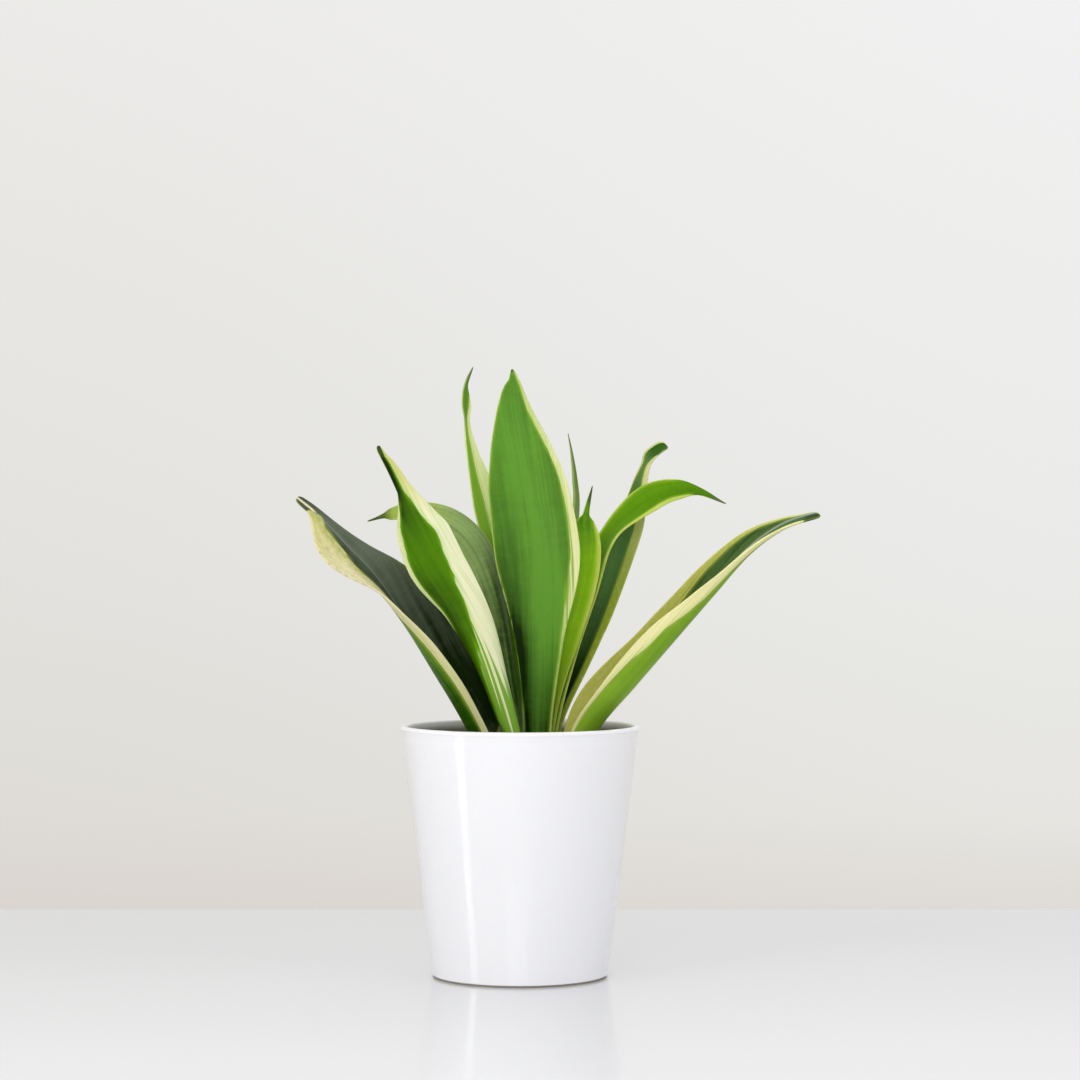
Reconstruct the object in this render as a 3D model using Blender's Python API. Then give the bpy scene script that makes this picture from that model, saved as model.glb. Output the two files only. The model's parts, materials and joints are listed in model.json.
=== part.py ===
"""A snake plant with cream-edged leaves, standing in soil in a plain glazed cup.

The pot stands on z = 0 with its axis on the z axis. The front of the plant, where
the tall middle leaf shows its face, looks along -y. Sizes below are in millimetres.
"""

import math

import bmesh
import bpy
import numpy as np
from mathutils import Matrix, Vector, noise

MM = 0.001
CLEARANCE = 0.3  # between pieces that touch

POT_HEIGHT = 125.0
RIM_RADIUS = 60.0
HEEL_RADIUS = 44.0
WALL = 3.5
FLOOR = 6.0
FOOT_HEIGHT = 0.8  # the bare foot ring, set back under the glaze
FOOT_SET_BACK = 0.7
HEEL_ROUNDING = 0.8
INNER_CORNER = 5.0
POT_SEGMENTS = 64

SOIL_LEVEL = 109.0  # at the wall, so 16 below the rim
SOIL_CROWN = 3.0  # how much higher it is heaped round the plant
SOIL_LUMP = 0.8
SOIL_SEGMENTS = 36
SOIL_RINGS = 6

CROWN_CENTRE = (8.0, 8.0)
RHIZOME_DEPTH = 89.0  # height of its middle above the table
RHIZOME_KNUCKLE = 14.0  # reach of the swelling under each leaf
RHIZOME_JOINTS = [(-6, -3), (18, 3), (4, 22)]  # bare swellings that join the rest
RHIZOME_GRAIN = 5.5

LEAF_STATIONS = 20
LEAF_COLUMNS = 8
SOCKET_SHARE = 0.17  # how much of a leaf's length its hole is cut from
BLADE_THICKNESS = [(0, 3.2), (0.35, 2.4), (0.8, 1.7), (1, 1.1)]
MARGIN_THICKNESS = 0.9
BEND_SHARE = 0.75  # the part of each half that is curved; the rest is straight

# One entry for each leaf. The spine runs from the rhizome to the tip. Left and right are
# the half widths, fold is the angle that each half is raised to, and turn is how far the
# inner face is turned away from the front. Each is a list of (share of the length, value).
LEAVES = {
    "leaf_center_tall": {
        "spine": [(8.5, 6, 93.5), (9, 6, 121.5), (9.5, 6, 167.5), (8.5, 8, 207.5), (3, 12, 250.5),
                  (-2.5, 15, 283), (-4, 16, 304)],
        "left": [(0, 7), (0.14, 8.5), (0.34, 13.5), (0.56, 22), (0.7, 20.8), (0.8, 16.8),
                 (0.9, 9.9), (0.958, 5), (0.975, 2.4), (1, 0.6)],
        "right": [(0, 7), (0.14, 8), (0.34, 13), (0.56, 22.3), (0.7, 20.5), (0.8, 15.3),
                  (0.9, 8.5), (0.965, 4), (1, 0.7)],
        "turn": [(0, 0), (1, 0)],
        "fold_left": [(0, 60), (0.3, 45), (0.6, 22), (1, 10)],
        "fold_right": [(0, 60), (0.3, 35), (0.6, 14), (1, 14)],
    },
    "leaf_back_slender": {
        "spine": [(-2, 17, 92.5), (-2.5, 18, 121), (-4, 22, 161.5), (-9, 29, 202),
                  (-18.5, 36, 238), (-26, 41, 266.5), (-28, 44, 284.5), (-28.2, 46, 297),
                  (-24.5, 48, 307)],
        "left": [(0, 6), (0.14, 6.5), (0.45, 10), (0.65, 8.4), (0.8, 3.4), (0.87, 1.8),
                 (0.905, 3.2), (0.93, 2.6), (0.952, 1.4), (0.98, 0.9), (1, 0.6)],
        "turn": [(0, 25), (0.5, 18), (0.8, 30), (0.88, 42), (1, 60)],
        "fold_left": [(0, 60), (0.5, 35), (1, 15)],
    },
    "leaf_left_twisted": {
        "spine": [(1.5, -9, 94.5), (-3.5, -11, 122.5), (-14.5, -17, 158), (-26.5, -23, 185.5),
                  (-40.5, -29, 207.5), (-52, -33, 229.5), (-62, -37, 250.5), (-69, -39, 263.5)],
        "left": [(0, 7), (0.16, 7), (0.4, 11.2), (0.53, 11.9), (0.6, 13.2), (0.66, 14.2),
                 (0.72, 14.6), (0.775, 11.6), (0.83, 8.2), (0.87, 6.4), (0.945, 4.2), (0.97, 2.4),
                 (1, 1.1)],
        "right": [(0, 5), (0.13, 5), (0.2, 8), (0.35, 9.8), (0.5, 12), (0.65, 15.5), (0.76, 12),
                  (0.83, 5), (0.87, 2.2), (0.985, 2), (1, 1.2)],
        "turn": [(0, 205), (0.3, 200), (0.6, 190), (0.8, 190), (0.9, 210), (1, 230)],
        "fold_left": [(0, 80), (0.3, 60), (0.6, 25), (1, 15)],
        "fold_right": [(0, 85), (0.3, 75), (0.6, 25), (1, 15)],
    },
    "leaf_left_drooping": {
        "spine": [(1, -1, 94), (-0.5, 0, 122), (-5.5, 2, 157.5), (-11, 5, 187.5), (-20.5, 9, 213),
                  (-35, 15, 228), (-56, 21, 233), (-78, 27, 227)],
        "left": [(0, 6), (0.16, 7), (0.4, 10.5), (0.6, 11), (0.75, 9), (0.88, 5.4), (0.93, 3.8),
                 (0.955, 1.3), (1, 0.6)],
        "right": [(0, 6), (0.16, 7), (0.4, 10.5), (0.6, 14), (0.75, 11), (0.88, 5.6), (0.93, 3.8),
                  (0.955, 1.3), (1, 0.6)],
        "turn": [(0, 255), (0.4, 240), (0.7, 215), (1, 215)],
        "fold_left": [(0, 65), (0.5, 40), (1, 20)],
    },
    "leaf_left_outer": {
        "spine": [(-14, -5, 94.5), (-24.7, -8, 122.5), (-44, -14, 156), (-57.5, -20, 179),
                  (-71.5, -27, 200), (-85.5, -33, 215.5), (-98, -38, 229), (-108.5, -42, 238)],
        "left": [(0, 10), (0.16, 12), (0.4, 14), (0.62, 14), (0.75, 22), (0.83, 26), (0.88, 22.5),
                 (0.93, 9), (0.95, 3.6), (0.985, 2.8), (1, 1.4)],
        "right": [(0, 10), (0.1, 12.5), (0.16, 24), (0.35, 29), (0.52, 26), (0.64, 18.5),
                  (0.76, 9), (0.9, 4), (0.985, 2.6), (1, 1.2)],
        "turn": [(0, 95), (0.3, 88), (0.6, 68), (0.8, 50), (1, 50)],
        "fold_left": [(0, 85), (0.35, 75), (0.7, 30), (1, 15)],
        "fold_right": [(0, 85), (0.35, 85), (0.7, 50), (1, 30)],
    },
    "leaf_back_sliver": {
        "spine": [(5, 29, 91.5), (8, 30, 120), (16.5, 34, 161.5), (24.5, 41, 202),
                  (28.5, 48, 233), (28, 51, 248.5), (26.5, 53, 261.5), (24.5, 55, 273)],
        "left": [(0, 4), (0.2, 5), (0.5, 4), (0.7, 2.4), (0.85, 1.6), (0.95, 0.7), (1, 0.6)],
        "turn": [(0, -15), (0.6, 10), (1, 30)],
        "fold_left": [(0, 45), (1, 20)],
    },
    "leaf_center_short": {
        "spine": [(11.5, 11, 93), (12.5, 11, 121.5), (16.5, 12, 147), (23, 13, 169.5),
                  (29.5, 14, 192.5), (33, 14, 212.5), (33, 15, 228.5), (36.5, 15, 245)],
        "left": [(0, 5), (0.2, 6), (0.5, 8.5), (0.7, 9), (0.82, 7.5), (0.88, 4.6), (0.905, 1.7),
                 (0.95, 1), (1, 0.6)],
        "turn": [(0, -12), (0.5, -5), (1, 0)],
        "fold_left": [(0, 55), (0.6, 30), (1, 10)],
    },
    "leaf_right_drooping": {
        "spine": [(13, 17, 92.5), (14.5, 18, 121), (23, 21, 156.5), (34.5, 24, 192),
                  (43, 27, 215), (54, 30, 229), (70, 34, 240.5), (88.5, 36, 243),
                  (105.5, 37, 236)],
        "left": [(0, 6), (0.2, 6.5), (0.5, 7), (0.65, 6.5), (0.78, 8), (0.87, 5.6), (0.925, 2.2),
                 (0.96, 1.2), (1, 0.6)],
        "turn": [(0, -15), (0.5, -30), (0.65, -45), (0.8, -20), (1, -20)],
        "fold_left": [(0, 55), (0.6, 25), (1, 15)],
    },
    "leaf_right_upright": {
        "spine": [(16, 23, 92), (16.5, 25, 120.5), (28.5, 30, 154), (39, 36, 181.5),
                  (48.5, 42, 207), (57.5, 47, 232), (62.5, 51, 249.5), (66.5, 53, 259.5),
                  (71, 54, 264), (75.8, 55, 266.5)],
        "left": [(0, 5), (0.2, 6), (0.5, 9), (0.75, 6), (0.86, 4), (0.92, 3), (0.945, 4.3),
                 (0.985, 4.3), (1, 3)],
        "right": [(0, 5), (0.2, 6), (0.41, 9.2), (0.5, 10.2), (0.61, 10.3), (0.73, 10),
                  (0.8, 7.8), (0.86, 5.2), (0.92, 3.4), (0.945, 4.5), (0.985, 4.5), (1, 3)],
        "turn": [(0, -25), (0.6, -8), (0.85, -20), (1, -50)],
        "fold_left": [(0, 50), (1, 30)],
    },
    "leaf_right_outer": {
        "spine": [(24.5, -1, 94), (37.5, -4, 122.5), (57, -11, 146), (76, -18, 168.5),
                  (94.5, -25, 190.5), (112, -31, 211), (129, -36, 223.5), (146.5, -40, 229.5)],
        "left": [(0, 10), (0.12, 18), (0.25, 24), (0.4, 21.5), (0.6, 18), (0.8, 11.5), (0.93, 5),
                 (0.985, 3.2), (1, 1.8)],
        "right": [(0, 10), (0.16, 15), (0.4, 19.5), (0.6, 13.5), (0.8, 7), (0.93, 4),
                  (0.985, 3.2), (1, 1.8)],
        "turn": [(0, -90), (0.5, -88), (0.8, -70), (1, -60)],
        "fold_left": [(0, 85), (0.16, 90), (0.5, 90), (0.8, 70), (1, 30)],
        "fold_right": [(0, 85), (0.5, 88), (0.8, 60), (1, 30)],
    },
}

GLAZE_WHITE = (0.85, 0.85, 0.87)
SOIL_BROWN = (0.055, 0.035, 0.022)
RHIZOME_TAN = (0.42, 0.30, 0.14)
LEAF_GREEN = (0.11, 0.29, 0.045)
LEAF_DARK = (0.05, 0.12, 0.04)
LEAF_LIME = (0.20, 0.36, 0.03)
LEAF_COLOURS = {
    "leaf_center_tall": LEAF_GREEN,
    "leaf_back_slender": LEAF_GREEN,
    "leaf_left_twisted": LEAF_GREEN,
    "leaf_left_drooping": LEAF_DARK,
    "leaf_left_outer": LEAF_DARK,
    "leaf_back_sliver": LEAF_DARK,
    "leaf_center_short": LEAF_LIME,
    "leaf_right_drooping": LEAF_LIME,
    "leaf_right_upright": LEAF_DARK,
    "leaf_right_outer": LEAF_GREEN,
}


def clear_scene():
    for old in list(bpy.data.objects):
        bpy.data.objects.remove(old)


def make_material(name, colour, roughness):
    material = bpy.data.materials.new(name)
    material.use_nodes = True
    shader = material.node_tree.nodes["Principled BSDF"]
    shader.inputs["Base Color"].default_value = (*colour, 1)
    shader.inputs["Roughness"].default_value = roughness
    shader.inputs["Metallic"].default_value = 0.0
    material.diffuse_color = (*colour, 1)
    return material


def add_object(name, mesh, material=None):
    """Put a mesh that is in millimetres into the scene as a smooth-shaded object."""
    mesh.transform(Matrix.Scale(MM, 4))
    mesh.shade_smooth()
    mesh.set_sharp_from_angle(angle=math.radians(40))
    piece = bpy.data.objects.new(name, mesh)
    bpy.context.scene.collection.objects.link(piece)
    if material:
        mesh.materials.append(material)
    return piece


def make_cutter(piece):
    piece.display_type = "WIRE"
    piece.hide_render = True
    return piece


def cut(piece, cutter):
    modifier = piece.modifiers.new("hole for " + cutter.name, "BOOLEAN")
    modifier.operation = "DIFFERENCE"
    modifier.solver = "EXACT"
    modifier.object = cutter


def split_faces(piece):
    """Triangles instead of the many-sided faces that the cuts leave."""
    modifier = piece.modifiers.new("triangles", "TRIANGULATE")
    modifier.quad_method = "BEAUTY"
    modifier.ngon_method = "BEAUTY"


def arc(centre_r, centre_z, radius, start, end, steps):
    """Points of an arc in the turned profile, from one angle in degrees to another."""
    angles = [math.radians(start + (end - start) * k / steps) for k in range(steps + 1)]
    return [(centre_r + radius * math.cos(a), centre_z + radius * math.sin(a)) for a in angles]


def turned_mesh(name, profile, segments):
    """Turn a profile of (radius, height) points that starts and ends on the axis."""
    bm = bmesh.new()
    points = [bm.verts.new((r, 0, z)) for r, z in profile]
    edges = [bm.edges.new(pair) for pair in zip(points, points[1:])]
    bmesh.ops.spin(bm, geom=points + edges, cent=(0, 0, 0), axis=(0, 0, 1),
                   angle=2 * math.pi, steps=segments, use_merge=True)
    bmesh.ops.remove_doubles(bm, verts=bm.verts, dist=0.001)
    bmesh.ops.recalc_face_normals(bm, faces=bm.faces)
    mesh = bpy.data.meshes.new(name)
    bm.to_mesh(mesh)
    bm.free()
    return mesh


def outer_radius(height):
    """Radius of the pot's straight side at a height."""
    return HEEL_RADIUS + (RIM_RADIUS - HEEL_RADIUS) * height / POT_HEIGHT


def inner_radius(height):
    return outer_radius(height) - WALL


def make_pot():
    """A tapered cup with a bare foot ring, a rounded heel and a rounded lip."""
    foot = HEEL_RADIUS - FOOT_SET_BACK
    heel_z = FOOT_HEIGHT + HEEL_ROUNDING
    lip = WALL / 2
    lip_z = POT_HEIGHT - lip
    lip_r = RIM_RADIUS - lip
    floor_r = inner_radius(FLOOR + INNER_CORNER) - INNER_CORNER
    profile = [(0, 0), (foot, 0), (foot, FOOT_HEIGHT)]
    profile += arc(outer_radius(heel_z) - HEEL_ROUNDING, heel_z, HEEL_ROUNDING, -80, 0, 3)
    profile += arc(lip_r, lip_z, lip, 0, 180, 6)
    profile += arc(floor_r, FLOOR + INNER_CORNER, INNER_CORNER, 0, -90, 4)
    profile += [(0, FLOOR)]
    mesh = turned_mesh("pot", profile, POT_SEGMENTS)
    return add_object("pot", mesh, make_material("white glaze", GLAZE_WHITE, 0.12))


def soil_height(x, y):
    """Height of the soil: heaped round the plant's crown, with small lumps."""
    away = math.hypot(x - CROWN_CENTRE[0], y - CROWN_CENTRE[1])
    heap = SOIL_CROWN * math.exp(-((away / 30) ** 2))
    lump = SOIL_LUMP * noise.noise(Vector((x / 6, y / 6, 0)))
    return SOIL_LEVEL + heap + lump


def make_soil(holes):
    """The soil fills the cup, with a plain hole for each leaf and for the rhizome."""
    bottom = FLOOR + CLEARANCE
    wall_r = inner_radius(SOIL_LEVEL) - CLEARANCE
    corner_r = inner_radius(FLOOR + INNER_CORNER) - INNER_CORNER - CLEARANCE
    profile = [(0, bottom), (corner_r, bottom)]
    profile += arc(corner_r, bottom + INNER_CORNER, INNER_CORNER, -60, 0, 2)
    profile += [(wall_r * k / SOIL_RINGS, SOIL_LEVEL) for k in range(SOIL_RINGS, -1, -1)]
    mesh = turned_mesh("soil", profile, SOIL_SEGMENTS)
    for point in mesh.vertices:
        if point.co.z > SOIL_LEVEL - 1:
            point.co.z = soil_height(point.co.x, point.co.y)
    soil = add_object("soil", mesh, make_material("potting soil", SOIL_BROWN, 0.95))
    for hole in holes:
        cut(soil, hole)
    split_faces(soil)
    return soil


def rhizome_mesh(name, grow=0.0):
    """The creeping stem under the soil: one swelling under each leaf, grown together."""
    ball = bpy.data.metaballs.new(name)
    ball.resolution = RHIZOME_GRAIN
    under_leaves = [leaf["spine"][0][:2] for leaf in LEAVES.values()]
    for x, y in under_leaves + RHIZOME_JOINTS:
        knuckle = ball.elements.new()
        knuckle.co = (x, y, RHIZOME_DEPTH)
        knuckle.radius = RHIZOME_KNUCKLE
    holder = bpy.data.objects.new(name, ball)
    bpy.context.scene.collection.objects.link(holder)
    shaped = holder.evaluated_get(bpy.context.evaluated_depsgraph_get())
    mesh = bpy.data.meshes.new_from_object(shaped)
    bpy.data.objects.remove(holder)
    bm = bmesh.new()
    bm.from_mesh(mesh)
    bmesh.ops.triangulate(bm, faces=bm.faces)
    bm.normal_update()
    for vertex, normal in [(v, v.normal.copy()) for v in bm.verts]:
        vertex.co += normal * grow
    bm.to_mesh(mesh)
    bm.free()
    return mesh


def make_rhizome(sockets):
    mesh = rhizome_mesh("rhizome")
    rhizome = add_object("rhizome", mesh, make_material("rhizome", RHIZOME_TAN, 0.7))
    for socket in sockets:
        cut(rhizome, socket)
    split_faces(rhizome)
    return rhizome


def eased(pairs, shares):
    """Values at the shares of a smooth curve through (share, value) pairs, with no overshoot."""
    knots, values = np.array(pairs, float).T
    gap = np.diff(knots)
    rise = np.diff(values) / gap
    before, after = rise[:-1], rise[1:]
    product = before * after
    safe_sum = np.where(product > 0, before + after, 1)
    slope = np.concatenate([rise[:1], np.where(product > 0, 2 * product / safe_sum, 0), rise[-1:]])
    k = np.clip(np.searchsorted(knots, shares, side="right") - 1, 0, len(gap) - 1)
    u = (shares - knots[k]) / gap[k]
    return (values[k] * (2 * u**3 - 3 * u**2 + 1) + values[k + 1] * (3 * u**2 - 2 * u**3)
            + gap[k] * (slope[k] * (u**3 - 2 * u**2 + u) + slope[k + 1] * (u**3 - u**2)))


def along_spine(points, shares):
    """Places and directions at shares of the length of a smooth curve through the points."""
    p = np.array(points, float)
    p = np.vstack([2 * p[0] - p[1], p, 2 * p[-1] - p[-2]])
    u = np.linspace(0, 1, 24, endpoint=False)[:, None]
    runs = []
    for a, b, c, d in zip(p, p[1:], p[2:], p[3:]):
        runs.append(b + 0.5 * (c - a) * u + (a - 2.5 * b + 2 * c - 0.5 * d) * u**2
                    + 0.5 * (3 * b - a - 3 * c + d) * u**3)
    fine = np.vstack(runs + [p[-2:-1]])
    steps = np.linalg.norm(np.diff(fine, axis=0), axis=1)
    length = np.concatenate([[0], np.cumsum(steps)]) / steps.sum()

    def at(share):
        share = np.clip(share, 0, 1)
        return np.stack([np.interp(share, length, fine[:, axis]) for axis in range(3)], 1)

    ahead = at(shares + 0.012) - at(shares - 0.012)
    return at(shares), ahead / np.linalg.norm(ahead, axis=1)[:, None]


def leaf_faces(leaf, shares, across, grow=0.0):
    """Points of the inner and the outer face, one row for each share of the length."""
    centre, forward = along_spine(leaf["spine"], shares)
    centre[0] -= forward[0] * grow
    level = np.cross((0, 1, 0), forward)
    level /= np.linalg.norm(level, axis=1)[:, None]
    turn = np.radians(eased(leaf["turn"], shares))[:, None]
    side = level * np.cos(turn) + np.cross(forward, level) * np.sin(turn)
    inward = np.cross(side, forward)

    left = eased(leaf["left"], shares)[:, None]
    right = eased(leaf.get("right", leaf["left"]), shares)[:, None]
    fold_left = np.radians(eased(leaf["fold_left"], shares))[:, None]
    fold_right = np.radians(eased(leaf.get("fold_right", leaf["fold_left"]), shares))[:, None]
    half = np.where(across < 0, left, right) + grow
    fold = np.where(across < 0, fold_left, fold_right)

    reach = np.abs(across)
    angle = fold * np.minimum(reach / BEND_SHARE, 1)
    straight = half * np.maximum(reach - BEND_SHARE, 0)
    radius = BEND_SHARE * half / fold
    out = np.sign(across) * (radius * np.sin(angle) + straight * np.cos(fold))
    up = radius * (1 - np.cos(angle)) + straight * np.sin(fold)
    middle = centre[:, None] + side[:, None] * out[..., None] + inward[:, None] * up[..., None]
    normal = (inward[:, None] * np.cos(angle)[..., None]
              - side[:, None] * (np.sign(across) * np.sin(angle))[..., None])

    thick = eased(BLADE_THICKNESS, shares)[:, None]
    edge = np.minimum(MARGIN_THICKNESS, thick)
    half_thick = (edge + (thick - edge) * (1 - reach**2.2)) / 2 + grow
    offset = normal * half_thick[..., None]
    return middle + offset, middle - offset


def blade_mesh(name, inner, outer):
    """Close two grids of points into one blade, split into triangles alike on both faces."""
    rows, columns = inner.shape[:2]
    bm = bmesh.new()
    front = [[bm.verts.new(point) for point in row] for row in inner]
    back = [[bm.verts.new(point) for point in row] for row in outer]

    def strip(first, second):
        for a, b, c, d in zip(first, first[1:], second[1:], second):
            bm.faces.new((a, b, c))
            bm.faces.new((a, c, d))

    for near, far in zip(front, front[1:]):
        strip(near, far)
    for near, far in zip(back, back[1:]):
        strip(near, far)
    for end in (0, rows - 1):
        strip(front[end], back[end])
    for rim in (0, columns - 1):
        strip([row[rim] for row in front], [row[rim] for row in back])
    bmesh.ops.recalc_face_normals(bm, faces=bm.faces)
    mesh = bpy.data.meshes.new(name)
    bm.to_mesh(mesh)
    bm.free()
    return mesh


def make_leaf(name):
    shares = np.linspace(0, 1, LEAF_STATIONS)
    across = np.linspace(-1, 1, LEAF_COLUMNS + 1)
    mesh = blade_mesh(name, *leaf_faces(LEAVES[name], shares, across))
    return add_object(name, mesh, make_material(name, LEAF_COLOURS[name], 0.35))


def make_leaf_hole(name):
    """The foot of a leaf, larger by the clearance all round."""
    shares = np.linspace(0, SOCKET_SHARE, 5)
    across = np.linspace(-1, 1, LEAF_COLUMNS + 1)
    mesh = blade_mesh(name, *leaf_faces(LEAVES[name], shares, across, CLEARANCE))
    return make_cutter(add_object("hole of " + name, mesh))


def main():
    clear_scene()
    make_pot()
    for name in LEAVES:
        make_leaf(name)
    leaf_holes = [make_leaf_hole(name) for name in LEAVES]
    make_rhizome(leaf_holes)
    bed = make_cutter(add_object("hole of rhizome", rhizome_mesh("bed", CLEARANCE)))
    make_soil(leaf_holes + [bed])


main()
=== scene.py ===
import json
import math

import bmesh
import bpy
import numpy as np
from mathutils import Euler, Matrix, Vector, noise

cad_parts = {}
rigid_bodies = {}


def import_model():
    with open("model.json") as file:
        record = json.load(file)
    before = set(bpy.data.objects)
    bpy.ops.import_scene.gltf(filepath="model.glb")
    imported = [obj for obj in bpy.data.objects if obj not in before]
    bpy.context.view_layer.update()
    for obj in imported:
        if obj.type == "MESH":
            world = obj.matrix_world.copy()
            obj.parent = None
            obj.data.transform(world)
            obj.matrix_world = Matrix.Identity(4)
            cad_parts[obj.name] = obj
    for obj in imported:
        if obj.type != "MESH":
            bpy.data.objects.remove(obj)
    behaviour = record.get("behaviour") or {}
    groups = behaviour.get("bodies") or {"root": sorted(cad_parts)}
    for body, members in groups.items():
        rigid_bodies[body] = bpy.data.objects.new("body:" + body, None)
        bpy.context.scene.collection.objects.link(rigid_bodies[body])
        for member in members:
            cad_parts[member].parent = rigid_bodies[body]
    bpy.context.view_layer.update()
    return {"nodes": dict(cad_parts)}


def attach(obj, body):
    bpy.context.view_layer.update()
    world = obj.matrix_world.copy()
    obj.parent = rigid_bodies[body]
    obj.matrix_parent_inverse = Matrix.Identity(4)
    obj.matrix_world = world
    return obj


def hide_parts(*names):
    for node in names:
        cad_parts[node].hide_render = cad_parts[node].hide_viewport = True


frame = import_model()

mm = 0.001


# general helpers

def eased(pairs, shares):
    # a smooth curve through (share, value) pairs that never overshoots them
    knots, values = np.array(pairs, float).T
    gap = np.diff(knots)
    rise = np.diff(values) / gap
    before, after = rise[:-1], rise[1:]
    product = before * after
    safeSum = np.where(product > 0, before + after, 1)
    bends = np.where(product > 0, 2 * product / safeSum, 0)
    slope = np.concatenate([rise[:1], bends, rise[-1:]])
    k = np.clip(np.searchsorted(knots, shares, side="right") - 1, 0, len(gap) - 1)
    u = (shares - knots[k]) / gap[k]
    start, end = values[k], values[k + 1]
    return (start * (2 * u**3 - 3 * u**2 + 1) + end * (3 * u**2 - 2 * u**3)
            + gap[k] * (slope[k] * (u**3 - 2 * u**2 + u) + slope[k + 1] * (u**3 - u**2)))


def addPiece(name, mesh, materials, node=None, slotName=None):
    for material in materials:
        mesh.materials.append(material)
    piece = bpy.data.objects.new(name, mesh)
    bpy.context.scene.collection.objects.link(piece)
    if node:
        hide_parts(node)
    if slotName:
        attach(piece, "root")
    return piece


def colour(red, green, blue):
    # screen values from 0 to 255 as the linear colour that nodes work in
    def linear(v):
        v = v / 255
        return v / 12.92 if v <= 0.04045 else ((v + 0.055) / 1.055) ** 2.4
    return (linear(red), linear(green), linear(blue), 1)


# node helpers: a value given to one of these is a number, a colour or another node's output

def feed(tree, socket, value):
    if isinstance(value, bpy.types.NodeSocket):
        tree.links.new(value, socket)
    else:
        socket.default_value = value


def newMaterial(name, fixedValues):
    material = bpy.data.materials.new(name)
    material.use_nodes = True
    shader = material.node_tree.nodes["Principled BSDF"]
    for socket, value in fixedValues.items():
        shader.inputs[socket].default_value = value
    return material, material.node_tree, shader


def stored(tree, name):
    # a value that is stored at each point of the mesh, as three numbers
    node = tree.nodes.new("ShaderNodeAttribute")
    node.attribute_name = name
    return node.outputs["Vector"]


def objectPlace(tree):
    return tree.nodes.new("ShaderNodeTexCoord").outputs["Object"]


def split(tree, vector):
    node = tree.nodes.new("ShaderNodeSeparateXYZ")
    feed(tree, node.inputs[0], vector)
    return node.outputs[0], node.outputs[1], node.outputs[2]


def noiseAt(tree, vector, stretch, detail=2.0, rough=0.5, swirl=0.0, shift=(0, 0, 0)):
    mapping = tree.nodes.new("ShaderNodeMapping")
    feed(tree, mapping.inputs["Vector"], vector)
    mapping.inputs["Scale"].default_value = stretch
    mapping.inputs["Location"].default_value = shift
    node = tree.nodes.new("ShaderNodeTexNoise")
    feed(tree, node.inputs["Vector"], mapping.outputs[0])
    node.inputs["Scale"].default_value = 1.0
    node.inputs["Detail"].default_value = detail
    node.inputs["Roughness"].default_value = rough
    node.inputs["Distortion"].default_value = swirl
    return node.outputs["Fac"]


def maths(tree, way, first, second=0.0, third=0.0, limit=False):
    node = tree.nodes.new("ShaderNodeMath")
    node.operation = way
    node.use_clamp = limit
    for k, value in enumerate((first, second, third)):
        feed(tree, node.inputs[k], value)
    return node.outputs[0]


def step(tree, value, low, high, bottom=0.0, top=1.0, smooth=True):
    # from bottom to top as the value goes from low to high
    node = tree.nodes.new("ShaderNodeMapRange")
    node.interpolation_type = "SMOOTHSTEP" if smooth else "LINEAR"
    for socket, number in zip(node.inputs, (value, low, high, bottom, top)):
        feed(tree, socket, number)
    return node.outputs[0]


def mix(tree, share, first, second):
    node = tree.nodes.new("ShaderNodeMix")
    node.data_type = "RGBA"
    feed(tree, node.inputs[0], share)
    feed(tree, node.inputs[6], first)  # sockets 6 and 7 take the two colours
    feed(tree, node.inputs[7], second)
    return node.outputs[2]


def colourRamp(tree, value, stops):
    node = tree.nodes.new("ShaderNodeValToRGB")
    feed(tree, node.inputs[0], value)
    while len(node.color_ramp.elements) < len(stops):
        node.color_ramp.elements.new(0.5)
    for element, (place, shade) in zip(node.color_ramp.elements, stops):
        element.position = place
        element.color = colour(*shade)
    return node.outputs[0]


def dress(tree, shader, base, roughness, height, depth):
    # the surface's colour, roughness and relief
    feed(tree, shader.inputs["Base Color"], base)
    feed(tree, shader.inputs["Roughness"], roughness)
    node = tree.nodes.new("ShaderNodeBump")
    node.inputs["Distance"].default_value = depth
    feed(tree, node.inputs["Height"], height)
    feed(tree, shader.inputs["Normal"], node.outputs[0])


# camera, in front of the plant and level with the middle of its leaves

cameraView = {
    "lens": 100, "sensor": 36, "nearest": 0.01, "place": (0.010, -1.5, 0.2175), "tilt": (90, 0, 0),
}

camera = bpy.data.objects.new("camera", bpy.data.cameras.new("camera"))
camera.data.lens = cameraView["lens"]
camera.data.sensor_width = cameraView["sensor"]
camera.data.clip_start = cameraView["nearest"]
camera.location = cameraView["place"]
camera.rotation_euler = Euler([math.radians(a) for a in cameraView["tilt"]])
bpy.context.scene.collection.objects.link(camera)
bpy.context.scene.camera = camera


# studio: a white table that ends behind the pot, with painted shade towards its back, and a pale
# wall of light

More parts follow.
